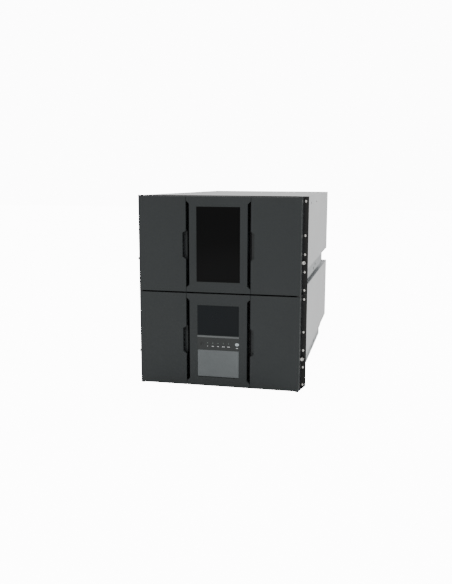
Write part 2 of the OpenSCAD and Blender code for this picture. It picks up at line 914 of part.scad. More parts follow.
module gripper() {
    half = cradle_w / 2 - slip;
    back = cradle_l / 2 - 3 - slip;
    color("#7d8285") stand() translate([0, turn_y, top_row]) {
        mid_block(half, [back - 8, back], [slip, cradle_h - 4]);
        for (side = [LEFT, RIGHT]) on_side(side) {
            block([half - 2.2, half], [-50, back - 7], [8, 18]);
            block([half - 4, half - 1], [-50, -46], [8, 18]);
        }
    }
}

// ---------- rear ----------

module drive_cages() {
    wall_x = bay_x + 2;
    color("silver") stand() for (k = [BASE, UPPER]) translate([0, 0, foot(k)]) {
        seat = k == BASE ? sheet : 0;
        for (side = [LEFT, RIGHT]) on_side(side)
            block([wall_x - 1.5, wall_x], [sled_y, inner_d], [seat, bay_z + 3 * bay_pitch - 3]);
        for (n = [0:2])
            mid_block(wall_x - 1, [sled_y, inner_d],
                [bay_z + n * bay_pitch - 1, bay_z + n * bay_pitch + 0.5]);
    }
}

mouth_w = 120;
mouth_z = first_row - bay_z - 1.5;

module drive_sled(k, n) {
    half = bay_x - 1;
    z0 = 1;
    z1 = bay_h - 1;
    color("#a8adb0") stand() translate([0, 0, bay_foot(k, n)]) {
        difference() {
            union() {
                mid_block(half, [sled_y, body_d + slip + 0.1], [z0, z1]);
                mid_block(bay_x + 1.5, [body_d + slip, body_d + slip + 1.5], [-1, bay_h + 1]);
            }
            mid_block(mouth_w / 2, [sled_y - cut, sled_y + 20], [mouth_z, mouth_z + cradle_h]);
            for (r = [0:4])
                translate([-38, 0, 20 + 9 * r]) along_y([body_d - 4, body_d + 4])
                    slot_outline(50, 4);
        }
        difference() {
            block([14, 22], [body_d + 1, handle_y], [18, 62]);
            block([14 - cut, 22 + cut], [body_d + 2, handle_y - 5], [24, 56]);
        }
        for (z = [22, 46])
            block([40, 66], [body_d + 1, body_d + 7], [z, z + 12]);
    }
}

fan_r = 27;
fan_x = psu_x + 60;
fan_z = 34;
fan_y = body_d - 20;

module power_supply(n) {
    x0 = psu_x + slip;
    x1 = psu_x + psu_w - slip;
    face = [body_d + slip, body_d + slip + 1.5];
    color("#9ba0a3") stand() translate([0, 0, psu_foot(BASE, n)]) {
        difference() {
            union() {
                block([x0, x1], [sled_y, face[0] + 0.1], [slip, psu_h - slip]);
                block([x0 - 2, x1 + 2], face, [-2, psu_h + 2]);
            }
            block([x0 + 3, x0 + 30], [body_d - 16, body_d + 4], [12, 32]);
            rod_y(fan_x, fan_z, [fan_y - 8, body_d + 4], fan_r + 1.5);
        }
        // bearing and guard of the fan
        rod_y(fan_x, fan_z, [fan_y - 9, fan_y - 2], 6);
        for (a = [45, 135])
            translate([fan_x, 0, fan_z]) rotate([0, a, 0])
                mid_block(fan_r + 2, face, [-1, 1]);
        translate([fan_x, 0, fan_z]) along_y(face) for (r = [8, 15, 22])
            difference() {
                circle(r = r + 0.8);
                circle(r = r - 0.8);
            }
        block([x0 + 8, x0 + 24], [body_d + 1, handle_y - 4], [44, 47]);
        block([x0 + 8, x0 + 24], [handle_y - 7, handle_y - 4], [42, 49]);
    }
}

module fan_rotor(n) {
    color("#222426") stand() translate([fan_x, fan_y + 7, psu_foot(BASE, n) + fan_z]) {
        rod_y(0, 0, [-8, 7], 11);
        rod_y(0, 0, [-8.5, -8], 5);
        for (b = [0:fan_blades - 1])
            rotate([0, b * 360 / fan_blades, 0]) intersection() {
                rotate([32, 0, 0]) block([9, fan_r - 0.5], [-7, 7], [-0.8, 0.8]);
                rod_y(0, 0, [-7, 7], fan_r - 1);
            }
    }
}

module controller_module() {
    x0 = -psu_x - psu_w + slip;
    x1 = -psu_x - slip;
    face = [body_d, body_d + 1.5];
    z0 = foot(BASE) + psu_z;
    color("#a4a9ab") stand() difference() {
        union() {
            block([x0, x1], [sled_y, face[0] + 0.1], [z0 + slip, z0 + ctrl_h - slip]);
            block([x0 - 2, x1 + 2], face, [z0 - 2, z0 + ctrl_h + 2]);
        }
        for (z = [30, 50])
            block([x0 + 12, x0 + 28], [body_d - 12, body_d + 4], [z0 + z, z0 + z + 12]);
        block([x0 + 12, x0 + 26], [body_d - 12, body_d + 4], [z0 + 76, z0 + 82]);
    }
}

module bay_cover(x, z) {
    block([x[0] + 1, x[1] - 1], [inner_d - 8, body_d + 0.1], [z[0] + 1, z[1] - 1]);
    block([x[0] - 2, x[1] + 2], [body_d, body_d + 1.5], [z[0] - 2, z[1] + 2]);
}

module bay_covers() {
    color("#b4b8ba") stand() {
        for (b = [[BASE, 2], [UPPER, 1], [UPPER, 2]]) {
            z = bay_foot(b[0], b[1]);
            bay_cover([-bay_x + 0.5, bay_x - 0.5], [z + 0.5, z + bay_h - 0.5]);
        }
        for (n = [0, 1])
            bay_cover([psu_x, psu_x + psu_w], [psu_foot(UPPER, n), psu_foot(UPPER, n) + psu_h]);
        bay_cover([-psu_x - psu_w, -psu_x], [psu_foot(UPPER, 0), psu_foot(UPPER, 0) + ctrl_h]);
    }
}

// ---------- nodes ----------

base_floor();
side_panel(BASE, LEFT);  // base_left_side
side_panel(BASE, RIGHT);  // base_right_side
front_frame(BASE);  // base_front_frame
rear_panel(BASE);  // base_rear_panel
middle_deck();
side_panel(UPPER, LEFT);  // upper_left_side
side_panel(UPPER, RIGHT);  // upper_right_side
front_frame(UPPER);  // upper_front_frame
rear_panel(UPPER);  // upper_rear_panel
top_cover();
ear(BASE, LEFT);  // base_left_ear
ear(BASE, RIGHT);  // base_right_ear
ear(UPPER, LEFT);  // upper_left_ear
ear(UPPER, RIGHT);  // upper_right_ear
slide_rails();
hinge_pins();
ear_screws();
thumbscrew(BASE, LEFT);  // base_left_thumbscrew
thumbscrew(BASE, RIGHT);  // base_right_thumbscrew
thumbscrew(UPPER, LEFT);  // upper_left_thumbscrew
thumbscrew(UPPER, RIGHT);  // upper_right_thumbscrew
door(BASE, LEFT);  // base_left_door
door(BASE, RIGHT);  // base_right_door
door(UPPER, LEFT);  // upper_left_door
door(UPPER, RIGHT);  // upper_right_door
base_bezel();
upper_bezel();
window_pane();
display_glass();
display_carrier();
trim_strip();
indicator_strip();
status_lamps();
power_button();
lock_barrel();
load_port_door();
load_port_tray();
magazine(BASE, LEFT);  // base_left_magazine
magazine(BASE, RIGHT);  // base_right_magazine
magazine(UPPER, LEFT);  // upper_left_magazine
magazine(UPPER, RIGHT);  // upper_right_magazine
drive_cages();
drive_sled(BASE, 0);  // drive_sled_a
drive_sled(BASE, 1);  // drive_sled_b
drive_sled(UPPER, 0);  // drive_sled_c
bay_covers();
power_supply(0);  // power_supply_a
power_supply(1);  // power_supply_b
fan_rotor(0);  // fan_rotor_a
fan_rotor(1);  // fan_rotor_b
controller_module();
lift_posts();
lift_rack();
lift_frame();
lift_motor();
lift_pinion();
picker_carriage();
picker_cradle();
gripper();
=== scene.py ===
"""Dresses the rack-mounted data tape library: finishes, fasteners and the studio around it."""

import math

import bmesh
import bpy
from bpy.props import FloatProperty, FloatVectorProperty, PointerProperty
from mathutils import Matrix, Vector


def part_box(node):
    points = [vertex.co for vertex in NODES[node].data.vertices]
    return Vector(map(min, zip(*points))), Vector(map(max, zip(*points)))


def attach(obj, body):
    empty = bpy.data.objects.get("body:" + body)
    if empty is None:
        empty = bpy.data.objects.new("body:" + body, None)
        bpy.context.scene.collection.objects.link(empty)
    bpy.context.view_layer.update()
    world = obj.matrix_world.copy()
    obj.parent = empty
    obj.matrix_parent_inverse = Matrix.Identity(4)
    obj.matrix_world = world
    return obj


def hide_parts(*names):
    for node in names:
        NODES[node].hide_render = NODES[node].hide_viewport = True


bl_info = {
    "name": "Data Tape Library Dresser",
    "version": (1, 0, 0),
    "blender": (4, 5, 0),
    "location": "3D View > Sidebar > Tape Library",
    "description": "Finishes, small hardware and a studio for a two-module tape library",
    "category": "Object",
}

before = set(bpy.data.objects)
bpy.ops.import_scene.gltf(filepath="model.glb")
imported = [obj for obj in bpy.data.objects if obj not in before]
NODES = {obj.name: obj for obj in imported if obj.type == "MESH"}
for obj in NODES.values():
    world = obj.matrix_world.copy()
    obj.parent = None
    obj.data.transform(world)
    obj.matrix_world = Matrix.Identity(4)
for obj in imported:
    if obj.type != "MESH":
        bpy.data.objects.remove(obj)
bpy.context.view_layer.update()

MM = 0.001
CAMERA_PLACE = (0.43706, -2.23797, 0.57297)
CAMERA_TURN = (80.9643, -0.3225, 11.6537)
CAMERA_SHIFT = (-0.03034, -0.00649)
MODULES = ("base", "upper")
SIDES = ("left", "right")


# ---------- places taken from the frame ----------


def span(node):
    """Lowest and highest corner of a node as vectors."""
    low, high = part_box(node)
    return Vector(low), Vector(high)


def centre(node):
    low, high = span(node)
    return (low + high) / 2


def solids_of(node):
    """Corners (low, high) of each separate solid in a node, from left to right and from the foot up."""
    mesh = bmesh.new()
    mesh.from_mesh(NODES[node].data)
    bmesh.ops.remove_doubles(mesh, verts=mesh.verts, dist=0.001 * MM)
    left, found = set(mesh.verts), []
    while left:
        queue = [left.pop()]
        island = list(queue)
        while queue:
            for edge in queue.pop().link_edges:
                for vert in edge.verts:
                    if vert in left:
                        left.discard(vert)
                        queue.append(vert)
                        island.append(vert)
        places = [vert.co for vert in island]
        low = Vector([min(place[axis] for place in places) for axis in range(3)])
        high = Vector([max(place[axis] for place in places) for axis in range(3)])
        found.append((low, high))
    mesh.free()
    return sorted(found, key=lambda pair: (round(pair[0].x, 4), round(pair[0].z, 4)))


# ---------- modelling by hand, in code ----------


def clear_selection():
    if bpy.context.mode != "OBJECT":
        bpy.ops.object.mode_set(mode="OBJECT")
    bpy.ops.object.select_all(action="DESELECT")


def settle(name):
    """Names the new piece and puts its place into its mesh."""
    piece = bpy.context.active_object
    piece.name = name
    piece.data.name = name
    bpy.ops.object.transform_apply(location=True, rotation=True, scale=True)
    return piece


def new_block(name, low, high):
    clear_selection()
    low, high = Vector(low), Vector(high)
    bpy.ops.mesh.primitive_cube_add(size=1, location=(low + high) / 2)
    bpy.context.active_object.scale = high - low
    return settle(name)


def new_bar(name, place, radius, depth, sides):
    """A round bar centred at its place and lying along Y."""
    clear_selection()
    bpy.ops.mesh.primitive_cylinder_add(
        vertices=sides, radius=radius, depth=depth, location=place,
        rotation=(math.pi / 2, 0, 0),
    )
    return settle(name)


def cut_away(piece, tool):
    """Takes the tool's volume out of a piece and deletes the tool."""
    cut = piece.modifiers.new("cut_away", "BOOLEAN")
    cut.object = tool
    cut.operation = "DIFFERENCE"
    cut.solver = "EXACT"
    clear_selection()
    bpy.context.view_layer.objects.active = piece
    piece.select_set(True)
    bpy.ops.object.modifier_apply(modifier=cut.name)
    bpy.data.objects.remove(tool)


def edit(piece):
    clear_selection()
    piece.select_set(True)
    bpy.context.view_layer.objects.active = piece
    bpy.ops.object.mode_set(mode="EDIT")
    bpy.ops.mesh.select_all(action="DESELECT")
    return bmesh.from_edit_mesh(piece.data)


def pick_faces(piece, mesh, test):
    """Selects the faces that pass the test, in face mode."""
    bpy.ops.mesh.select_mode(type="FACE")
    for face in mesh.faces:
        face.select_set(test(face))
    bmesh.update_edit_mesh(piece.data)


def to_the_front(face):
    return face.normal.y < -0.99


def done():
    bpy.ops.object.mode_set(mode="OBJECT")


def soften(piece, width, segments=2, angle=35):
    """Rounds the sharp edges of a piece and shades it smooth."""
    clear_selection()
    piece.select_set(True)
    bpy.context.view_layer.objects.active = piece
    bevel = piece.modifiers.new("soft_edges", "BEVEL")
    bevel.width = width
    bevel.segments = segments
    bevel.limit_method = "ANGLE"
    bevel.angle_limit = math.radians(angle)
    bpy.ops.object.modifier_apply(modifier=bevel.name)
    bpy.ops.object.shade_smooth_by_angle(angle=math.radians(angle))
    return piece


def copy_to(piece, offset, name):
    """A copy with its own mesh, moved by an offset."""
    clear_selection()
    piece.select_set(True)
    bpy.context.view_layer.objects.active = piece
    bpy.ops.object.duplicate(linked=False)
    bpy.ops.transform.translate(value=offset)
    return settle(name)


def join(pieces, name):
    clear_selection()
    for piece in pieces:
        piece.select_set(True)
    bpy.context.view_layer.objects.active = pieces[0]
    if len(pieces) > 1:
        bpy.ops.object.join()
    piece = bpy.context.active_object
    piece.name = name
    piece.data.name = name
    return piece


def fit_out(piece, body, material):
    """Gives a finished piece its material and the body that it rides on."""
    piece.data.materials.clear()
    piece.data.materials.append(material)
    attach(piece, body)


# ---------- shared shader groups ----------


def make_group(name, inputs, outputs):
    """An empty node group with named sockets. Inputs are (name, default) and outputs are (name, type)."""
    group = bpy.data.node_groups.new(name, "ShaderNodeTree")
    for title, default in inputs:
        kind = "NodeSocketColor" if isinstance(default, tuple) else "NodeSocketFloat"
        socket = group.interface.new_socket(title, in_out="INPUT", socket_type=kind)
        socket.default_value = default
    for title, kind in outputs:
        group.interface.new_socket(title, in_out="OUTPUT", socket_type=kind)
    return group, group.nodes.new("NodeGroupInput"), group.nodes.new("NodeGroupOutput")


def noise(tree, vector, scale, detail=2.0, roughness=0.5):
    node = tree.nodes.new("ShaderNodeTexNoise")
    node.inputs["Detail"].default_value = detail
    node.inputs["Roughness"].default_value = roughness
    tree.links.new(vector, node.inputs["Vector"])
    if isinstance(scale, (int, float)):
        node.inputs["Scale"].default_value = scale
    else:
        tree.links.new(scale, node.inputs["Scale"])
    return node


def span_map(tree, value, low, high, to_low, to_high):
    node = tree.nodes.new("ShaderNodeMapRange")
    tree.links.new(value, node.inputs["Value"])
    for title, number in (
        ("From Min", low),
        ("From Max", high),
        ("To Min", to_low),
        ("To Max", to_high),
    ):
        if isinstance(number, (int, float)):
            node.inputs[title].default_value = number
        else:
            tree.links.new(number, node.inputs[title])
    return node.outputs["Result"]


def moulded_grain():
    """Fine spark-eroded grain of a moulding, with slow changes of tone."""
    name = "moulded_grain"
    if name in bpy.data.node_groups:
        return bpy.data.node_groups[name]
    group, given, out = make_group(
        name,
        [("Grain Scale", 1800.0), ("Tone Scale", 6.0)],
        [("Height", "NodeSocketFloat"), ("Tone", "NodeSocketFloat"), ("Gloss", "NodeSocketFloat")],
    )
    place = group.nodes.new("ShaderNodeTexCoord").outputs["Object"]
    grain = noise(group, place, given.outputs["Grain Scale"], 3.0, 0.6)
    cells = group.nodes.new("ShaderNodeTexVoronoi")
    group.links.new(place, cells.inputs["Vector"])
    group.links.new(given.outputs["Grain Scale"], cells.inputs["Scale"])
    blend = group.nodes.new("ShaderNodeMath")
    blend.operation = "MULTIPLY_ADD"
    group.links.new(cells.outputs["Distance"], blend.inputs[0])
    blend.inputs[1].default_value = 0.5
    group.links.new(grain.outputs["Fac"], blend.inputs[2])
    group.links.new(blend.outputs["Value"], out.inputs["Height"])
    tone = noise(group, place, given.outputs["Tone Scale"], 4.0, 0.55)
    group.links.new(tone.outputs["Fac"], out.inputs["Tone"])
    handled = noise(group, place, 22.0, 5.0, 0.65)
    group.links.new(handled.outputs["Fac"], out.inputs["Gloss"])
    return group


def brushed_lines():
    """Long fine scratches along Y with slow patches of tone, for rolled and brushed sheet."""
    name = "brushed_lines"
    if name in bpy.data.node_groups:
        return bpy.data.node_groups[name]
    group, given, out = make_group(
        name,
        [("Line Scale", 900.0), ("Patch Scale", 14.0)],
        [("Height", "NodeSocketFloat"), ("Tone", "NodeSocketFloat")],
    )
    place = group.nodes.new("ShaderNodeTexCoord").outputs["Object"]
    stretch = group.nodes.new("ShaderNodeMapping")
    stretch.inputs["Scale"].default_value = (1.0, 0.02, 1.0)
    group.links.new(place, stretch.inputs["Vector"])
    lines = noise(group, stretch.outputs["Vector"], given.outputs["Line Scale"], 2.0, 0.6)
    patches = noise(group, place, given.outputs["Patch Scale"], 4.0, 0.6)
    blend = group.nodes.new("ShaderNodeMath")
    blend.operation = "MULTIPLY_ADD"
    group.links.new(lines.outputs["Fac"], blend.inputs[0])
    blend.inputs[1].default_value = 0.35
    group.links.new(patches.outputs["Fac"], blend.inputs[2])
    group.links.new(lines.outputs["Fac"], out.inputs["Height"])
    group.links.new(blend.outputs["Value"], out.inputs["Tone"])
    return group


def orange_peel():
    """The slight ripple and speckle of a textured powder coat."""
    name = "orange_peel"
    if name in bpy.data.node_groups:
        return bpy.data.node_groups[name]
    group, given, out = make_group(
        name,
        [("Peel Scale", 700.0), ("Speck Scale", 2600.0)],
        [("Height", "NodeSocketFloat"), ("Tone", "NodeSocketFloat")],
    )
    place = group.nodes.new("ShaderNodeTexCoord").outputs["Object"]
    peel = noise(group, place, given.outputs["Peel Scale"], 1.5, 0.4)
    specks = noise(group, place, given.outputs["Speck Scale"], 2.0, 0.5)
    broad = noise(group, place, 5.0, 3.0, 0.5)
    blend = group.nodes.new("ShaderNodeMath")
    blend.operation = "MULTIPLY_ADD"
    group.links.new(specks.outputs["Fac"], blend.inputs[0])
    blend.inputs[1].default_value = 0.3
    group.links.new(peel.outputs["Fac"], blend.inputs[2])
    group.links.new(blend.outputs["Value"], out.inputs["Height"])
    group.links.new(broad.outputs["Fac"], out.inputs["Tone"])
    return group


def settled_dust():
    """A mask that is strongest on upward faces and broken up by noise."""
    name = "settled_dust"
    if name in bpy.data.node_groups:
        return bpy.data.node_groups[name]
    group, given, out = make_group(
        name, [("Amount", 0.15)], [("Mask", "NodeSocketFloat")]
    )
    place = group.nodes.new("ShaderNodeTexCoord")
    split = group.nodes.new("ShaderNodeSeparateXYZ")
    group.links.new(place.outputs["Normal"], split.inputs["Vector"])
    up = span_map(group, split.outputs["Z"], 0.6, 1.0, 0.0, 1.0)
    drift = noise(group, place.outputs["Object"], 30.0, 5.0, 0.6)
    broken = span_map(group, drift.outputs["Fac"], 0.35, 0.75, 0.0, given.outputs["Amount"])
    product = group.nodes.new("ShaderNodeMath")
    product.operation = "MULTIPLY"
    group.links.new(up, product.inputs[0])
    group.links.new(broken, product.inputs[1])
    group.links.new(product.outputs["Value"], out.inputs["Mask"])
    return group


# ---------- finishes ----------


def shade(colour, factor):
    return tuple(min(1.0, part * factor) for part in colour[:3]) + (1.0,)


def start_finish(name, **constants):
    finish = bpy.data.materials.new(name)
    finish.use_nodes = True
    surface = finish.node_tree.nodes["Principled BSDF"]
    for title, value in constants.items():
        surface.inputs[title.replace("_", " ")].default_value = value
    return finish, finish.node_tree, surface


def add_group(tree, group, **values):
    node = tree.nodes.new("ShaderNodeGroup")
    node.node_tree = group
    for title, value in values.items():
        node.inputs[title.replace("_", " ")].default_value = value
    return node


def two_tones(tree, surface, value, dark, light, low=0.3, high=0.7):
    ramp = tree.nodes.new("ShaderNodeValToRGB")
    ramp.color_ramp.elements[0].position = low
    ramp.color_ramp.elements[0].color = dark
    ramp.color_ramp.elements[1].position = high
    ramp.color_ramp.elements[1].color = light
    tree.links.new(value, ramp.inputs["Fac"])
    tree.links.new(ramp.outputs["Color"], surface.inputs["Base Color"])
    return ramp


def bumped(tree, surface, height, distance, strength=0.5):
    bump = tree.nodes.new("ShaderNodeBump")
    bump.inputs["Strength"].default_value = strength
    bump.inputs["Distance"].default_value = distance
    tree.links.new(height, bump.inputs["Height"])
    tree.links.new(bump.outputs["Normal"], surface.inputs["Normal"])


def moulded(
    name, colour, rough=(0.38, 0.46), grain=1800.0, depth=0.03 * MM, strength=0.35, dust=0.0
):
    """Moulded plastic with fine grain and handled patches."""
    finish, tree, surface = start_finish(name)
    texture = add_group(tree, moulded_grain(), Grain_Scale=grain)
    ramp = two_tones(tree, surface, texture.outputs["Tone"], shade(colour, 0.9), shade(colour, 1.1))
    if dust:
        film = add_group(tree, settled_dust(), Amount=dust)
        over = tree.nodes.new("ShaderNodeMix")
        over.data_type = "RGBA"
        tree.links.new(film.outputs["Mask"], over.inputs["Factor"])
        tree.links.new(ramp.outputs["Color"], over.inputs["A"])
        over.inputs["B"].default_value = (0.35, 0.34, 0.33, 1.0)
        tree.links.new(over.outputs["Result"], surface.inputs["Base Color"])
    gloss = span_map(tree, texture.outputs["Gloss"], 0.3, 0.7, rough[0], rough[1])
    tree.links.new(gloss, surface.inputs["Roughness"])
    bumped(tree, surface, texture.outputs["Height"], depth, strength)
    return finish


def powder_coat(name, colour, rough=(0.42, 0.5), peel=700.0, depth=0.05 * MM, strength=0.3):
    finish, tree, surface = start_finish(name)
    texture = add_group(tree, orange_peel(), Peel_Scale=peel)
    two_tones(tree, surface, texture.outputs["Tone"], shade(colour, 0.96), shade(colour, 1.04))
    gloss = span_map(tree, texture.outputs["Tone"], 0.3, 0.7, rough[0], rough[1])
    tree.links.new(gloss, surface.inputs["Roughness"])
    bumped(tree, surface, texture.outputs["Height"], depth, strength)
    return finish


def plated_sheet(name, colour, rough=(0.28, 0.42), lines=900.0, depth=0.01 * MM, strength=0.25):
    finish, tree, surface = start_finish(name, Metallic=1.0)
    texture = add_group(tree, brushed_lines(), Line_Scale=lines)
    two_tones(tree, surface, texture.outputs["Tone"], shade(colour, 0.86), shade(colour, 1.08), 0.4, 0.95)
    gloss = span_map(tree, texture.outputs["Tone"], 0.4, 0.95, rough[0], rough[1])
    tree.links.new(gloss, surface.inputs["Roughness"])
    bumped(tree, surface, texture.outputs["Height"], depth, strength)
    return finish


def zinc_spangle(name, colour):
    """Zinc-plated sheet with the soft crystal pattern of a hot-dip coat."""
    finish, tree, surface = start_finish(name, Metallic=1.0)
    place = tree.nodes.new("ShaderNodeTexCoord").outputs["Object"]
    crystals = tree.nodes.new("ShaderNodeTexVoronoi")
    crystals.inputs["Scale"].default_value = 160.0
    tree.links.new(place, crystals.inputs["Vector"])
    grey = tree.nodes.new("ShaderNodeSeparateColor")
    tree.links.new(crystals.outputs["Color"], grey.inputs["Color"])
    two_tones(tree, surface, grey.outputs["Red"], shade(colour, 0.84), shade(colour, 1.1), 0.0, 1.0)
    gloss = span_map(tree, grey.outputs["Green"], 0.0, 1.0, 0.3, 0.44)
    tree.links.new(gloss, surface.inputs["Roughness"])
    lines = add_group(tree, brushed_lines(), Line_Scale=700.0)
    bumped(tree, surface, lines.outputs["Height"], 0.01 * MM, 0.2)
    return finish


def polished(name, colour, rough=(0.1, 0.2), swirl=240.0):
    """Turned and plated metal with faint swirl marks."""
    finish, tree, surface = start_finish(name, Metallic=1.0)
    place = tree.nodes.new("ShaderNodeTexCoord").outputs["Object"]
    marks = noise(tree, place, swirl, 4.0, 0.6)
    two_tones(tree, surface, marks.outputs["Fac"], shade(colour, 0.92), shade(colour, 1.05))
    gloss = span_map(tree, marks.outputs["Fac"], 0.3, 0.7, rough[0], rough[1])
    tree.links.new(gloss, surface.inputs["Roughness"])
    bumped(tree, surface, marks.outputs["Fac"], 0.008 * MM, 0.15)
    return finish


def smoked_pane(name, colour, level):
    """Smoked acrylic that reads as black, with faint wipe marks in its gloss."""
    finish, tree, surface = start_finish(
        name, IOR=1.49, Specular_IOR_Level=level
    )
    place = tree.nodes.new("ShaderNodeTexCoord").outputs["Object"]
    wipes = noise(tree, place, 18.0, 5.0, 0.6)
    two_tones(tree, surface, wipes.outputs["Fac"], shade(colour, 0.9), shade(colour, 1.1))
    gloss = span_map(tree, wipes.outputs["Fac"], 0.35, 0.75, 0.03, 0.09)
    tree.links.new(gloss, surface.inputs["Roughness"])
    return finish


def glossy_moulding(name, colour):
    return moulded(name, colour, (0.12, 0.22), grain=900.0, depth=0.01 * MM, strength=0.12)


# ---------- settings a user would change ----------


class FinishSettings(bpy.types.PropertyGroup):
    """Colours of the library's finishes."""

    front: FloatVectorProperty(
        name="Front mouldings", description="Colour of the doors and the centre bezels",
        subtype="COLOR", size=3, min=0, max=1, default=(0.014, 0.018, 0.019),
    )
    cabinet: FloatVectorProperty(
        name="Cabinet paint", description="Colour of the sides, the cover and the rear panels",
        subtype="COLOR", size=3, min=0, max=1, default=(0.62, 0.63, 0.63),
    )
    ears: FloatVectorProperty(
        name="Ear paint", description="Colour of the rack ears and the front frames",
        subtype="COLOR", size=3, min=0, max=1, default=(0.004, 0.004, 0.0045),
    )
    load_door: FloatVectorProperty(
        name="Load door", description="Colour of the load port's door",
        subtype="COLOR", size=3, min=0, max=1, default=(0.115, 0.128, 0.132),
    )
    marks: FloatVectorProperty(
        name="Printed marks", description="Colour of the marks under the lamps and the button",
        subtype="COLOR", size=3, min=0, max=1, default=(0.6, 0.62, 0.62),
    )


class HardwareSettings(bpy.types.PropertyGroup):
    """Sizes of the small hardware that is added to the frame."""

    mark_height: FloatProperty(
        name="Mark height", description="Height of the printed marks on the indicator strip",
        unit="LENGTH", default=1.8 * MM, min=0.5 * MM, max=4 * MM,
    )
    recess_depth: FloatProperty(
        name="Screw recess", description="Depth of the cross recess in the ear screws",
        unit="LENGTH", default=1.1 * MM, min=0.4 * MM, max=1.5 * MM,
    )


class StudioSettings(bpy.types.PropertyGroup):
    """The camera's lens and the lights."""

    lens: FloatProperty(
        name="Lens", description="Focal length in millimetres on a 36 mm frame",
        default=41.58, min=20, max=120,
    )
    key_light: FloatProperty(
        name="Key light", description="Strength of the soft light above the front",
        default=30.0, min=0, max=1000,
        unit="POWER",
    )
    side_light: FloatProperty(
        name="Side light", description="Strength of the soft light on the right",
        default=30.0, min=0, max=1000,
        unit="POWER",
    )
    top_light: FloatProperty(
        name="Top light", description="Strength of the soft light overhead", default=30.0, min=0, max=1000,
        unit="POWER",
    )
    room: FloatProperty(
        name="Room light", description="Brightness of the pale room", default=0.8, min=0, max=3,
    )
    backdrop: FloatProperty(
        name="Backdrop", description="Brightness of the backdrop and the floor as they are seen",
        default=12.0, min=0, max=30,
    )


# ---------- the operators ----------


class TAPELIB_OT_camera(bpy.types.Operator):
    """Places the camera in front of the library, a little to the right and above"""

    bl_idname = "tapelib.camera"
    bl_label = "Camera"

    def execute(self, context):
        lens = bpy.data.cameras.new("library_camera")
        lens.lens = context.scene.tape_studio.lens
        lens.sensor_width = 36.0
        lens.shift_x, lens.shift_y = CAMERA_SHIFT
        camera = bpy.data.objects.new("library_camera", lens)
        context.scene.collection.objects.link(camera)
        camera.location = CAMERA_PLACE
        camera.rotation_euler = [math.radians(turn) for turn in CAMERA_TURN]
        context.scene.camera = camera
        return {"FINISHED"}


class TAPELIB_OT_stage(bpy.types.Operator):
    """Lays the pale floor and hangs the soft lights"""

    bl_idname = "tapelib.stage"
    bl_label = "Studio"

    def execute(self, context):
        studio = context.scene.tape_studio
        clear_selection()
        bpy.ops.mesh.primitive_plane_add(size=24.0, location=(0, 0, -0.0005))
        floor = settle("studio_floor")
        finish, tree, surface = start_finish("pale_floor", Roughness=0.9, Specular_IOR_Level=0.1)
        place = tree.nodes.new("ShaderNodeTexCoord").outputs["Object"]
        broad = noise(tree, place, 0.6, 3.0, 0.5)
        two_tones(tree, surface, broad.outputs["Fac"], (0.9, 0.9, 0.9, 1), (0.93, 0.93, 0.93, 1))
        surface.inputs["Emission Color"].default_value = (1, 1, 1, 1)
        self.only_in_view(tree, surface.inputs["Emission Strength"], 0.0, studio.backdrop)
        floor.data.materials.append(finish)
        room = bpy.data.worlds.new("pale_room")
        room.use_nodes = True
        backdrop = room.node_tree.nodes["Background"].inputs
        backdrop["Color"].default_value = (1, 1, 1, 1)
        self.only_in_view(room.node_tree, backdrop["Strength"], studio.room, studio.backdrop)
        context.scene.world = room
        self.hang("key_softbox", (-0.6, -3.4, 2.6), (0, 0, 0.35), (3.0, 1.6), studio.key_light)
        self.hang("side_softbox", (3.2, 0.2, 1.4), (0.2, 0, 0.25), (2.4, 2.0), studio.side_light)
        self.hang("top_softbox", (0.0, 0.3, 3.2), (0, 0, 0), (3.0, 3.0), studio.top_light)
        return {"FINISHED"}

    def only_in_view(self, tree, socket, elsewhere, seen):
        """Gives a socket one strength for what is looked at and another for what lights the object."""
        path = tree.nodes.new("ShaderNodeLightPath")
        strength = span_map(tree, path.outputs["Is Camera Ray"], 0.0, 1.0, elsewhere, seen)
        tree.links.new(strength, socket)

    def hang(self, name, place, target, size, power):
        panel = bpy.data.lights.new(name, "AREA")
        panel.shape = "RECTANGLE"
        panel.size, panel.size_y = size
        panel.energy = power
        light = bpy.data.objects.new(name, panel)
        bpy.context.scene.collection.objects.link(light)
        light.location = place
        light.rotation_euler = (Vector(target) - Vector(place)).to_track_quat("-Z", "Y").to_euler()


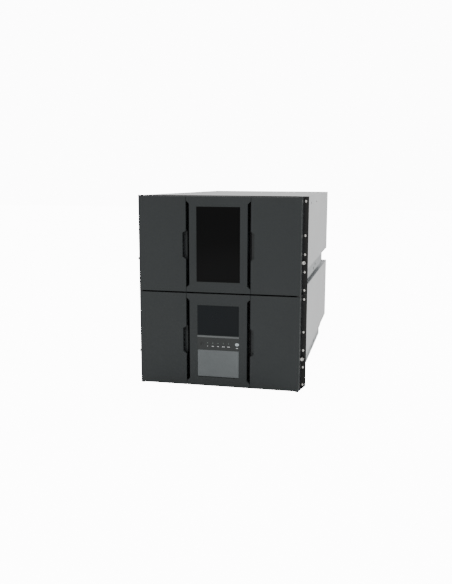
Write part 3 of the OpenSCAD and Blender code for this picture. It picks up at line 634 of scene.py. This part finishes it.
class TAPELIB_OT_finishes(bpy.types.Operator):
    """Gives every node of the frame its finish"""

    bl_idname = "tapelib.finishes"
    bl_label = "Finishes"

    def execute(self, context):
        chosen = context.scene.tape_finish
        front = shade(chosen.front, 1)
        finishes = [
            (powder_coat("cabinet_paint", shade(chosen.cabinet, 1)), [
                "base_left_side", "base_right_side", "upper_left_side", "upper_right_side",
                "top_cover", "base_rear_panel", "upper_rear_panel"]),
            (zinc_spangle("zinc_sheet", (0.5, 0.52, 0.53)), [
                "base_floor", "middle_deck", "drive_cages"]),
            (plated_sheet("zinc_rail", (0.46, 0.49, 0.49)), ["slide_rails"]),
            (powder_coat("ear_paint", shade(chosen.ears, 1), (0.4, 0.5), strength=0.2), [
                "base_left_ear", "base_right_ear", "upper_left_ear", "upper_right_ear",
                "base_front_frame", "upper_front_frame"]),
            (polished("nickel_plate", (0.7, 0.69, 0.66)), [
                "hinge_pins", "ear_screws"] + [f"{m}_{s}_thumbscrew" for m in MODULES for s in SIDES]),
            (moulded("graphite_moulding", front, dust=0.05), [
                f"{m}_{s}_door" for m in MODULES for s in SIDES] + ["base_bezel", "upper_bezel"]),
            (smoked_pane("smoked_window", (0.0012, 0.0012, 0.0014), 0.12), ["window_pane"]),
            (smoked_pane("display_glass", (0.003, 0.005, 0.007), 0.2), ["display_glass"]),
            (moulded("inner_black", (0.016, 0.017, 0.018), (0.45, 0.55)), [
                "display_carrier", "load_port_tray", "picker_cradle", "fan_rotor_a", "fan_rotor_b"]
                + [f"{m}_{s}_magazine" for m in MODULES for s in SIDES]),
            (plated_sheet("satin_trim", (0.16, 0.17, 0.17), (0.35, 0.45)), ["trim_strip"]),
            (glossy_moulding("strip_moulding", (0.016, 0.019, 0.019)), [
                "indicator_strip", "lock_barrel"]),
            (glossy_moulding("lamp_lens", (0.16, 0.2, 0.18)), ["status_lamps"]),
            (glossy_moulding("button_cap", (0.42, 0.46, 0.48)), ["power_button"]),
            (moulded("load_door_moulding", shade(chosen.load_door, 1)), ["load_port_door"]),
            (plated_sheet("drive_sheet", (0.42, 0.43, 0.44)), [
                "drive_sled_a", "drive_sled_b", "drive_sled_c", "bay_covers", "power_supply_a",
                "power_supply_b", "controller_module"]),
            (polished("ground_steel", (0.62, 0.62, 0.62), (0.08, 0.16)), ["lift_posts"]),
            (plated_sheet("machined_steel", (0.38, 0.39, 0.4), (0.25, 0.38)), ["lift_rack"]),
            (polished("brass_gear", (0.62, 0.45, 0.19), (0.16, 0.28)), ["lift_pinion"]),
            (plated_sheet("cast_aluminium", (0.42, 0.43, 0.44), (0.35, 0.5)), [
                "lift_frame", "picker_carriage", "gripper"]),
            (powder_coat("motor_coat", (0.02, 0.02, 0.022)), ["lift_motor"]),
        ]
        for finish, nodes in finishes:
            for node in nodes:
                data = NODES[node].data
                data.materials.clear()
                data.materials.append(finish)
        bare = [name for name, node in NODES.items() if not node.data.materials]
        if bare:
            raise RuntimeError(f"no finish for {bare}")
        return {"FINISHED"}


class TAPELIB_OT_marks(bpy.types.Operator):
    """Prints plain marks under the five lamps and under the button"""

    bl_idname = "tapelib.marks"
    bl_label = "Printed marks"

    def execute(self, context):
        height = context.scene.tape_hardware.mark_height
        low, _ = span("indicator_strip")
        face = low.y
        lamps = [(low + high) / 2 for low, high in solids_of("status_lamps")]
        button = centre("power_button")
        widths = [2.2 * MM, 6.5 * MM, 5.0 * MM, 7.5 * MM, 7.0 * MM]
        if len(lamps) != len(widths):
            raise RuntimeError(f"{len(lamps)} lamps for {len(widths)} marks")
        below_lamp, below_button, button_width = 9 * MM, 10.3 * MM, 6.0 * MM
        places = [(lamp.x, lamp.z - below_lamp, width) for lamp, width in zip(lamps, widths)]
        places.append((button.x, button.z - below_button, button_width))
        bars = []
        for number, (x, z, width) in enumerate(places):
            bars.append(new_block(
                f"mark_{number}",
                (x - width / 2, face - 0.08 * MM, z - height / 2),
                (x + width / 2, face + 0.02 * MM, z + height / 2),
            ))
            soften(bars[-1], 0.03 * MM, 1)
        ink = moulded("mark_ink", shade(context.scene.tape_finish.marks, 1), (0.5, 0.6))
        fit_out(join(bars, "printed_marks"), "root", ink)
        return {"FINISHED"}


class TAPELIB_OT_screws(bpy.types.Operator):
    """Makes the ear screws' domed heads with their cross recess"""

    bl_idname = "tapelib.screws"
    bl_label = "Ear screws"

    def execute(self, context):
        depth = context.scene.tape_hardware.recess_depth
        head_height, shank_start, dome = 2.0 * MM, 1.9 * MM, 0.35 * MM
        places = solids_of("ear_screws")
        low, high = places[0]
        radius = (high.x - low.x) / 2
        first = (low + high) / 2
        front = low.y
        head = new_bar(
            "screw_head", (first.x, front + head_height / 2, first.z), radius, head_height, 24
        )
        mesh = edit(head)
        pick_faces(head, mesh, to_the_front)
        bpy.ops.mesh.inset(thickness=radius * 0.35, depth=dome)
        done()
        soften(head, dome, 2)
        long, short = 0.42 * radius, 0.13 * radius
        for half_x, half_z in ((long, short), (short, long)):
            cut_away(head, new_block(
                "recess", (first.x - half_x, front - 2 * MM, first.z - half_z),
                (first.x + half_x, front + depth, first.z + half_z),
            ))
        heads, shanks = [head], []
        for number, (other_low, other_high) in enumerate(places):
            middle = (other_low + other_high) / 2
            if number:
                heads.append(copy_to(head, middle - first, f"screw_head_{number}"))
            length = other_high.y - front - shank_start
            shanks.append(new_bar(
                f"screw_shank_{number}",
                (middle.x, front + shank_start + length / 2, middle.z),
                radius * 0.55, length, 16,
            ))
        screws = join(heads + shanks, "ear_screw_set")
        fit_out(screws, "root", bpy.data.materials["nickel_plate"])
        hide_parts("ear_screws")
        return {"FINISHED"}


class TAPELIB_OT_knobs(bpy.types.Operator):
    """Puts a turned cap with a driver slot on each thumbscrew"""

    bl_idname = "tapelib.knobs"
    bl_label = "Thumbscrew caps"

    def execute(self, context):
        nodes = [f"{module}_{side}_thumbscrew" for module in MODULES for side in SIDES]
        first = self.model_cap(nodes[0])
        start, _ = span(nodes[0])
        caps = [first]
        for node in nodes[1:]:
            low, _ = span(node)
            caps.append(copy_to(first, low - start, f"{node}_cap"))
        for node, cap in zip(nodes, caps):
            fit_out(cap, node, bpy.data.materials["nickel_plate"])
        return {"FINISHED"}

    def model_cap(self, node):
        """A shallow dished cap with a driver slot, on the front of a knob."""
        thickness, rim, dish = 1.2 * MM, 1.1 * MM, 0.5 * MM
        slot_half, slot_floor = 0.5 * MM, 0.1 * MM
        low, high = span(node)
        middle = (low + high) / 2
        radius = (high.x - low.x) / 2
        cap = new_bar(
            f"{node}_cap", (middle.x, low.y - thickness / 2, middle.z),
            radius - 0.5 * MM, thickness, 32,
        )
        mesh = edit(cap)
        pick_faces(cap, mesh, to_the_front)
        bpy.ops.mesh.inset(thickness=rim, depth=-dish)
        done()
        soften(cap, 0.2 * MM, 2)
        cut_away(cap, new_block(
            "slot", (middle.x - radius, low.y - 3 * MM, middle.z - slot_half),
            (middle.x + radius, low.y - slot_floor, middle.z + slot_half),
        ))
        return cap


class TAPELIB_PT_panel(bpy.types.Panel):
    """Lists the library's settings and the buttons for its steps"""

    bl_label = "Tape Library"
    bl_idname = "TAPELIB_PT_panel"
    bl_space_type = "VIEW_3D"
    bl_region_type = "UI"
    bl_category = "Tape Library"

    def draw(self, context):
        layout = self.layout
        for settings in (context.scene.tape_finish, context.scene.tape_hardware, context.scene.tape_studio):
            box = layout.box()
            for name in settings.__annotations__:
                box.prop(settings, name)
        for operator in OPERATORS:
            layout.operator(operator.bl_idname)


OPERATORS = (
    TAPELIB_OT_camera,
    TAPELIB_OT_finishes,
    TAPELIB_OT_marks,
    TAPELIB_OT_screws,
    TAPELIB_OT_knobs,
    TAPELIB_OT_stage,
)
GROUPS = (FinishSettings, HardwareSettings, StudioSettings)


def register():
    for kind in GROUPS + OPERATORS + (TAPELIB_PT_panel,):
        bpy.utils.register_class(kind)
    bpy.types.Scene.tape_finish = PointerProperty(type=FinishSettings)
    bpy.types.Scene.tape_hardware = PointerProperty(type=HardwareSettings)
    bpy.types.Scene.tape_studio = PointerProperty(type=StudioSettings)


def unregister():
    del bpy.types.Scene.tape_studio
    del bpy.types.Scene.tape_hardware
    del bpy.types.Scene.tape_finish
    for kind in reversed(GROUPS + OPERATORS + (TAPELIB_PT_panel,)):
        bpy.utils.unregister_class(kind)


def main():
    register()
    for operator in OPERATORS:
        group, name = operator.bl_idname.split(".")
        getattr(getattr(bpy.ops, group), name)()
    clear_selection()


if __name__ == "__main__":
    main()
